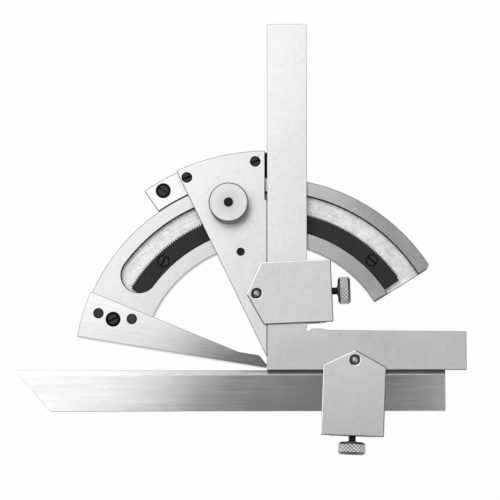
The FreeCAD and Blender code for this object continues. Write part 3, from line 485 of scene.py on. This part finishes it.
dressing = {
    "main_scale": {
        "name": "dialArc", "edge": 0.22, "slot": "dial_steel", "chooser": onDial,
        "finish": ("dialFace", "edgeShade", "channelFloor", "printAndShadeBlack", "rimSteel")},
    "base_blade": {
        "name": "baseBlade", "edge": 0.16, "slot": "blade_steel", "chooser": onBaseBlade,
        "finish": ("baseBladeFace", "sideShade", "printAndShadeBlack", "rimSteel")},
    "sector_plate": {
        "name": "sectorPlate", "edge": 0.20, "slot": "plate_steel", "chooser": withHoles,
        "finish": ("sectorFace", "edgeShade", "printAndShadeBlack")},
    "vernier_carrier": {
        "name": "vernierCarrier", "edge": 0.26, "slot": "dial_steel", "chooser": withHoles,
        "finish": ("plateFace", "ringShade", "printAndShadeBlack")},
    "vernier_plate": {
        "name": "vernierPlate", "edge": 0.10, "slot": "dial_steel", "chooser": onEdges,
        "finish": ("plateFace", "edgeShade")},
    "square": {
        "name": "squareArms", "edge": 0.13, "slot": "plate_steel", "chooser": onPlate,
        "finish": ("squareFace", "edgeShade", "sideShade", "rimSteel")},
    "ruler": {
        "name": "rulerBlade", "edge": 0.12, "slot": "blade_steel", "chooser": onRuler,
        "finish": ("bladeFace", "edgeShade", "bladeEdgeSheen")},
    "sector_clamp_frame": {
        "name": "sectorClampFrame", "edge": 0.32, "slot": "clamp_steel", "chooser": onClamp,
        "finish": ("clampFace", "edgeShade", "ringShade", "edgeHighlight")},
    "ruler_clamp_frame": {
        "name": "rulerClampFrame", "edge": 0.32, "slot": "clamp_steel", "chooser": onClamp,
        "finish": ("clampFace", "edgeShade", "ringShade", "edgeHighlight")},
    "rack": {
        "name": "rackStrip", "edge": 0, "slot": "black_steel", "chooser": onRack,
        "finish": ("rackBlack", "toothSteel")},
    "sector_clamp_stud": {
        "name": "sectorClampStud", "edge": 0, "slot": "clamp_steel", "chooser": onStud,
        "finish": ("studTop", "ringShade")},
    "ruler_clamp_stud": {
        "name": "rulerClampStud", "edge": 0, "slot": "clamp_steel", "chooser": onStud,
        "finish": ("studTop", "ringShade")},
    "base_blade_screw": {
        "name": "bladeScrew", "edge": 0.12, "slot": "black_steel", "chooser": onScrewHead,
        "finish": ("screwTop", "printAndShadeBlack")},
    "sector_screws": {
        "name": "sectorScrews", "edge": 0.12, "slot": "black_steel", "chooser": onScrewHead,
        "finish": ("screwTop", "printAndShadeBlack")},
    "vernier_screws": {
        "name": "vernierScrews", "edge": 0.12, "slot": "black_steel", "chooser": onScrewHead,
        "finish": ("screwTop", "printAndShadeBlack")},
    "rack_screws": {
        "name": "rackScrews", "edge": 0.10, "slot": "black_steel", "chooser": onScrewHead,
        "finish": ("screwTop", "printAndShadeBlack")},
    "base_blade_dowels": {
        "name": "bladeDowels", "edge": 0.22, "slot": "dowel_steel", "chooser": onEdges,
        "finish": ("dowelGrey", "printAndShadeBlack")},
}
for node, look in dressing.items():
    dressed(node, look)
print("plates and blades dressed:", len(dressing))

kept = {
    "knob_washer": "plateFace", "brake_stud": "screwBlack", "sector_clamp_nut": "clampFace",
    "pinion_shaft": "screwBlack", "brake_shoe": "plateFace", "brake_washer": "plateFace",
    "ruler_clamp_nut": "clampFace", "sector_clamp_pad": "screwBlack",
    "ruler_clamp_pad": "screwBlack",
}
for node, finishName in kept.items():
    paint(nodes[node], (finishName,))


# Round pieces: a disc drawn up ring by ring, with its grip cut between two heights
turnedSmooth = math.radians(22)
rimShare = 0.99  # corners further out than this share of the radius are on the rim


def turnedPiece(name, profile, sides):
    bpy.ops.object.select_all(action="DESELECT")
    bpy.ops.mesh.primitive_circle_add(vertices=sides, radius=profile[0][0] * mm,
                                      fill_type="NGON", location=(0, 0, 0))
    piece = bpy.context.active_object
    piece.name = name
    bpy.ops.object.mode_set(mode="EDIT")
    bpy.ops.mesh.select_all(action="SELECT")
    bpy.ops.transform.translate(value=(0, 0, profile[0][1] * mm))
    for (radius, height), (nextRadius, nextHeight) in zip(profile, profile[1:]):
        rise = (0, 0, (nextHeight - height) * mm)
        bpy.ops.mesh.extrude_region_move(TRANSFORM_OT_translate={"value": rise})
        if nextRadius != radius:
            grow = nextRadius / radius
            bpy.ops.transform.resize(value=(grow, grow, 1),
                                     center_override=(0, 0, nextHeight * mm))
    bpy.ops.mesh.select_all(action="SELECT")
    bpy.ops.mesh.normals_make_consistent(inside=False)
    bpy.ops.object.mode_set(mode="OBJECT")
    return piece


def cutGrip(piece, low, high, depth, crossed=False):
    # every other corner of the rings between low and high goes in by depth, which makes
    # ridges, and where the rings take turns, a crossed knurl
    spots = [corner.co.copy() for corner in piece.data.vertices]
    outer = max(spot.xy.length for spot in spots)
    rings = sorted({round(spot.z / mm, 3) for spot in spots if low <= spot.z / mm <= high})
    sides = sum(1 for spot in spots
                if abs(spot.z / mm - rings[0]) < 0.001 and spot.xy.length > outer * rimShare)
    bpy.ops.object.mode_set(mode="EDIT")
    bpy.ops.mesh.select_all(action="DESELECT")
    bpy.ops.object.mode_set(mode="OBJECT")
    for corner in piece.data.vertices:
        height = round(corner.co.z / mm, 3)
        if height not in rings or corner.co.xy.length < outer * rimShare:
            continue
        place = round(math.atan2(corner.co.y, corner.co.x) / (2 * math.pi) * sides)
        corner.select = (place + (rings.index(height) if crossed else 0)) % 2 == 0
    bpy.ops.object.mode_set(mode="EDIT")
    shrink = 1 - depth * mm / outer
    bpy.ops.transform.resize(value=(shrink, shrink, 1), center_override=(0, 0, 0))
    bpy.ops.mesh.select_all(action="SELECT")
    bpy.ops.mesh.quads_convert_to_tris(quad_method="SHORTEST_DIAGONAL", ngon_method="BEAUTY")
    bpy.ops.object.mode_set(mode="OBJECT")


def settle(piece, spot, lean=None, turn=0.0):
    # from the lathe to its place, with the place kept in the mesh
    pickOnly(piece)
    if lean is not None:
        piece.rotation_euler = (0, lean, 0)
        bpy.ops.object.transform_apply(location=False, rotation=True, scale=False)
    piece.rotation_euler = (0, 0, turn)
    piece.location = Vector(spot)
    bpy.ops.object.transform_apply(location=True, rotation=True, scale=True)
    bpy.ops.object.shade_smooth_by_angle(angle=turnedSmooth)


knob = {"radius": 7.3, "foot": 4.35, "high": 8.0, "chamfer": 0.45, "land": 0.3, "grip": 0.22,
        "gripFrom": 0.2, "ridges": 72, "lip": 0.15, "lipDeep": 0.12, "dimple": 1.65,
        "dimpleDeep": 0.55, "rivet": 0.7, "rivetTop": 0.35, "rivetHigh": 0.3}


def makeKnob():
    low, top, radius = knob["foot"], knob["foot"] + knob["high"], knob["radius"]
    ring = radius - knob["chamfer"]
    gripLow, gripHigh = low + knob["chamfer"], top - knob["chamfer"]
    lipLevel, dimpleFloor = top - knob["lipDeep"], top - knob["dimpleDeep"]
    profile = [(ring, low), (radius, gripLow), (radius, gripLow + knob["land"]),
               (radius, gripHigh - knob["land"]), (radius, gripHigh),
               (ring + knob["lip"], lipLevel), (ring - 0.02, top),
               (knob["dimple"] + knob["lip"], top), (knob["dimple"], lipLevel),
               (knob["dimple"], dimpleFloor), (knob["rivet"] + 0.2, dimpleFloor),
               (knob["rivet"], dimpleFloor + knob["rivetHigh"] / 2),
               (knob["rivetTop"], dimpleFloor + knob["rivetHigh"])]
    piece = turnedPiece("knobHead", profile, 2 * knob["ridges"])
    cutGrip(piece, gripLow + knob["gripFrom"], gripHigh - knob["gripFrom"], knob["grip"])
    settle(piece, knobSpot)
    gripInside = 6.0

    def onKnob(centre, normal):
        away = (centre.xy - Vector(knobSpot).xy / mm).length
        if away < knob["dimple"] + 0.05:
            return 2 if centre.z < top - 0.2 else 0
        if away > gripInside and abs(normal.z) < 0.9:
            # the grip's flanks take the knurl, its chamfers the painted rim shade
            return 1 if upright(normal) else 3
        return 0

    # the knob's grip has a lower colour than its face: a painted shade for the knob's side
    finishes["knobGrip"] = knurledSteel("knobGrip", {
        "colour": (0.36, 0.36, 0.36), "rough": 0.35, "valleyShade": 0.10, "centre": knobSpot,
        "across": (1, 1, 0), "valley": 7.06, "crest": 7.30})
    paint(piece, ("knobFace", "knobGrip", "screwBlack", "knobRimShade"), onKnob)
    enter(piece, "pinion", ("knob",))


brakeNut = {"radius": 6.5, "top": -8.52, "high": 5.0, "chamfer": 0.6, "land": 0.25,
            "grip": 0.22, "gripFrom": 0.2, "ridges": 64, "bore": 1.80, "recessRim": 1.6,
            "recess": 1.3, "recessDeep": 0.35}  # recess and its rim: how far beyond the bore


def makeBrakeNut():
    top, radius = brakeNut["top"], brakeNut["radius"]
    low = top - brakeNut["high"]
    ring = radius - brakeNut["chamfer"]
    gripLow, gripHigh = low + brakeNut["chamfer"], top - brakeNut["chamfer"]
    recessFloor = low + brakeNut["recessDeep"]
    profile = [(ring, top), (radius, gripHigh), (radius, gripHigh - brakeNut["land"]),
               (radius, gripLow + brakeNut["land"]), (radius, gripLow), (ring, low),
               (brakeNut["bore"] + brakeNut["recessRim"], low),
               (brakeNut["bore"] + brakeNut["recess"], recessFloor),
               (brakeNut["bore"], recessFloor)]
    piece = turnedPiece("brakeNutHead", profile, 2 * brakeNut["ridges"])
    cutGrip(piece, gripLow + brakeNut["gripFrom"], gripHigh - brakeNut["gripFrom"],
            brakeNut["grip"])
    settle(piece, brakeSpot)
    gripInside = 5.5

    def onNut(centre, normal):
        away = (centre.xy - Vector(brakeSpot).xy / mm).length
        return 1 if upright(normal) and away > gripInside else 0

    finishes["nutGrip"] = knurledSteel("nutGrip", {
        "colour": (0.50, 0.50, 0.50), "rough": 0.35, "valleyShade": 0.12, "centre": brakeSpot,
        "across": (1, 1, 0), "valley": 6.26, "crest": 6.50})
    paint(piece, ("nutFace", "nutGrip"), onNut)
    enter(piece, "brake_nut", ("brake_nut",))


# How a clamp is built up from the edge it presses on to the head of its screw
clamp = {"lean": 2.3, "padGap": 0.35, "padLong": 2.6, "socket": 0.9, "room": 1.27,
         "wall": 5.0, "neckLong": 2.1, "screwLevel": 2.0}
thumb = {"radius": 5.2, "high": 4.6, "chamfer": 0.95, "grip": 0.44, "sides": 44, "rows": 4,
         "boss": 2.3, "bossHigh": 0.4, "neck": 1.3, "shank": 1.45, "point": 0.3,
         "dishRim": 2.6, "dish": 2.3, "dishDeep": 0.25, "dishEye": 0.6}
clampScrews = {
    "sectorThumbscrew": {"node": "sector_clamp_screw", "stud": studSpots["sector"],
                         "reach": 18.5, "turn": clamp["lean"]},
    "rulerThumbscrew": {"node": "ruler_clamp_screw", "stud": studSpots["ruler"],
                        "reach": 18.53, "turn": -90 - clamp["lean"]},
}


def makeThumbscrew(name, look):
    near = look["reach"] / math.cos(math.radians(clamp["lean"])) + clamp["padGap"]
    tip = near + clamp["padLong"] - clamp["socket"]
    wallEnd = near + clamp["padLong"] + clamp["room"] + clamp["wall"]
    head = wallEnd + clamp["neckLong"]
    end = head + thumb["high"]
    low, high = head + thumb["chamfer"] + 0.1, end - thumb["chamfer"] - 0.1
    radius, ring = thumb["radius"], thumb["radius"] - thumb["chamfer"]
    profile = [(thumb["shank"] - thumb["point"], tip), (thumb["shank"], tip + thumb["point"]),
               (thumb["shank"], wallEnd - 0.5), (thumb["neck"], wallEnd - 0.35),
               (thumb["neck"], head - thumb["bossHigh"]), (thumb["boss"], head - 0.05),
               (ring, head + 0.05), (radius, head + thumb["chamfer"])]
    profile += [(radius, low + (high - low) * row / thumb["rows"])
                for row in range(thumb["rows"] + 1)]
    profile += [(radius, end - thumb["chamfer"]), (ring, end), (thumb["dishRim"], end),
                (thumb["dish"], end - thumb["dishDeep"]),
                (thumb["dishEye"], end - thumb["dishDeep"])]
    piece = turnedPiece(name, profile, thumb["sides"])
    cutGrip(piece, low - 0.01, high + 0.01, thumb["grip"], crossed=True)
    turn = math.radians(look["turn"])
    spot = tuple(part * mm for part in (*look["stud"], clamp["screwLevel"]))
    settle(piece, spot, math.radians(90), turn)
    direction = Vector((math.cos(turn), math.sin(turn), 0))

    def onScrew(centre, normal):
        along = (centre - Vector(spot) / mm).dot(direction)
        if along < head - thumb["bossHigh"] - 0.05:
            return 1
        # the head's faces outside the knurl take the painted side shade
        return 0 if low - 0.1 < along < high + 0.1 else 2

    gripName = name + "Grip"
    # full colour on the crests: a painted highlight
    finishes[gripName] = knurledSteel(gripName, {
        "colour": (1.0, 1.0, 0.99), "rough": 0.46, "valleyShade": 0.06, "metallic": 0.75,
        "centre": spot, "turn": turn, "across": (0, 1, 1), "valley": 4.72, "crest": 4.96})
    paint(piece, (gripName, "screwBlack", "sideShade"), onScrew)
    enter(piece, nodes[look["node"]]["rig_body"], (look["node"],))


makeKnob()
makeBrakeNut()
for name, look in clampScrews.items():
    makeThumbscrew(name, look)
print("knob, brake nut and thumbscrews turned")


# Scale lines and numbers on the front, inlaid by a hair
scales = {
    "dialScale": {"body": "base", "slot": "black_steel", "start": 75.5, "step": 1.0,
                  "lines": 91, "rim": 70.55, "inward": True, "short": 2.4, "middle": 3.4,
                  "long": 4.6, "each": (5, 10), "numbers": 10, "numberEach": 10,
                  "numberStep": 10, "numberAt": 63.2, "numberHigh": 2.6},
    "vernierScale": {"body": "sector", "slot": "black_steel", "start": 85.0,
                     "step": 29.0 / 30.0, "lines": 31, "rim": 71.15, "inward": False,
                     "short": 2.0, "middle": 2.8, "long": 3.4, "each": (5, 10),
                     "numbers": 7, "numberEach": 5, "numberStep": 10, "numberAt": 75.4,
                     "numberHigh": 1.7},
}
scaleFace, lineWide, lineSunk, lineProud = -6.0, 0.13, 0.03, 0.012
markLevel = (scaleFace + (lineSunk - lineProud) / 2) * mm
figureSize = 1.35  # text size for a figure one high


def makeScale(name, look):
    way = -1 if look["inward"] else 1
    joined = []
    near = look["rim"]
    lengths = zip((1, *look["each"]), (look["short"], look["middle"], look["long"]))
    for every, longness in lengths:  # each longer line only adds what it has beyond the shorter
        far = look["rim"] + way * longness
        bpy.ops.object.select_all(action="DESELECT")
        bpy.ops.mesh.primitive_cube_add(size=1, location=((near + far) / 2 * mm, 0, markLevel))
        line = bpy.context.active_object
        line.scale = (abs(far - near) * mm, lineWide * mm, (lineSunk + lineProud) * mm)
        bpy.ops.object.transform_apply(location=True, rotation=True, scale=True)
        bpy.ops.object.mode_set(mode="EDIT")
        bpy.ops.mesh.select_all(action="SELECT")
        steps = (look["lines"] - 1) // every
        bpy.ops.transform.rotate(value=-math.radians(look["start"]), orient_axis="Z",
                                 center_override=(0, 0, 0))
        bpy.ops.mesh.spin(steps=steps, dupli=True,
                          angle=-math.radians(look["step"] * every * steps),
                          center=(0, 0, 0), axis=(0, 0, 1))
        bpy.ops.object.mode_set(mode="OBJECT")
        joined.append(line)
        near = far
    for number in range(look["numbers"]):
        spread = look["step"] * look["numberEach"]
        angle = math.radians(look["start"] + number * spread)
        bpy.ops.object.text_add(location=(0, 0, 0))
        words = bpy.context.active_object
        words.data.body = str(number * look["numberStep"])
        words.data.size = look["numberHigh"] * figureSize * mm
        words.data.align_x = "CENTER"
        words.data.align_y = "CENTER"
        words.data.extrude = (lineSunk + lineProud) / 2 * mm
        bpy.ops.object.convert(target="MESH")
        words.rotation_euler = (0, math.pi, 0)
        bpy.ops.object.transform_apply(location=False, rotation=True, scale=False)
        words.rotation_euler = (0, 0, angle - math.pi / 2)
        words.location = (look["numberAt"] * math.cos(angle) * mm,
                          look["numberAt"] * math.sin(angle) * mm, markLevel)
        bpy.ops.object.transform_apply(location=True, rotation=True, scale=True)
        joined.append(words)
    bpy.ops.object.select_all(action="DESELECT")
    for part in joined:
        part.select_set(True)
    bpy.context.view_layer.objects.active = joined[0]
    bpy.ops.object.join()
    piece = bpy.context.active_object
    piece.name = name
    paint(piece, ("printAndShadeBlack",))
    enter(piece, look["body"])


for name, look in scales.items():
    makeScale(name, look)
print("scales drawn:", len(scales))


# Floor, light and camera
centre = Vector((-6.6, 43.8, 0.0)) * mm
studio = {"floorRadius": 4.0, "floorGrey": 0.85, "floorGlow": 0.965, "worldGrey": 0.19}
lamps = {
    "mainSoftbox": {"place": (-0.45, 0.52, 1.2), "size": (1.2, 1.1), "turn": 60, "power": 6.8},
    "rightFill": {"place": (0.54, -0.27, 1.2), "size": (0.8, 0.7), "turn": 0, "power": 2.3},
    "leftSideBox": {"place": (-0.55, 1.2, 0.72), "size": (0.75, 0.5), "aim": True,
                    "power": 2.2},
}
# pale panels all round, seen in the steel from lower views
panels = {"count": 6, "away": 2.1, "high": 1.55, "size": (2.1, 1.5), "power": 6.0}
for number in range(panels["count"]):
    angle = math.radians(360 / panels["count"] * number)
    place = (panels["away"] * math.cos(angle), panels["away"] * math.sin(angle), panels["high"])
    lamps["sidePanel%d" % number] = {"place": place, "size": panels["size"], "aim": True,
                                     "power": panels["power"]}
bpy.ops.object.select_all(action="DESELECT")
bpy.ops.mesh.primitive_circle_add(vertices=96, radius=studio["floorRadius"], fill_type="NGON",
                                  location=(centre.x, centre.y, cadBox[0][2]))
floor = bpy.context.active_object
floor.name = "studioFloor"
board = Board("studioWhite")
rayNames = ("Is Camera Ray", "Is Glossy Ray", "Is Transmission Ray")
cameraRay, glossyRay, throughRay = (board.node("LightPath", out=name) for name in rayNames)
seen = cameraRay.atLeast(glossyRay).atLeast(throughRay)
matte = board.node("BsdfDiffuse", None, {"Color": (*[studio["floorGrey"]] * 3, 1)})
glow = board.node("Emission", None, {"Color": (1, 1, 1, 1), "Strength": 1.0})
white = board.node("MixShader", None, {0: seen * studio["floorGlow"], 1: matte, 2: glow})
floor.data.materials.append(board.finish(white))

world = bpy.data.worlds.new("studioWorld")
bpy.context.scene.world = world
world.use_nodes = True
background = world.node_tree.nodes["Background"]
background.inputs["Color"].default_value = (1, 1, 1, 1)
background.inputs["Strength"].default_value = studio["worldGrey"]

for name, look in lamps.items():
    place = Vector(look["place"])
    bpy.ops.object.light_add(type="AREA", location=centre + place)
    lamp = bpy.context.active_object
    lamp.name = name
    lamp.data.shape = "RECTANGLE"
    lamp.data.size, lamp.data.size_y = look["size"]
    lamp.data.energy = look["power"]
    if look.get("aim"):
        lamp.rotation_euler = (-place).to_track_quat("-Z", "Y").to_euler()
    else:
        lamp.rotation_euler = (0, 0, math.radians(look["turn"]))

view = {"distance": 0.95, "tilt": 6.3, "side": 2.0, "lens": 185.0, "sensor": 36,
        "clip": (0.01, 20)}
lean, side = math.radians(view["tilt"]), math.radians(view["side"])
towards = Vector((math.sin(side), -math.sin(lean), math.cos(lean)))
bpy.ops.object.camera_add(location=centre + towards * view["distance"])
camera = bpy.context.active_object
camera.rotation_euler = (lean, side, 0)
camera.data.lens = view["lens"]
camera.data.sensor_width = view["sensor"]
camera.data.clip_start, camera.data.clip_end = view["clip"]
bpy.context.scene.camera = camera
bpy.context.scene.view_settings.view_transform = "Standard"
print("studio ready")
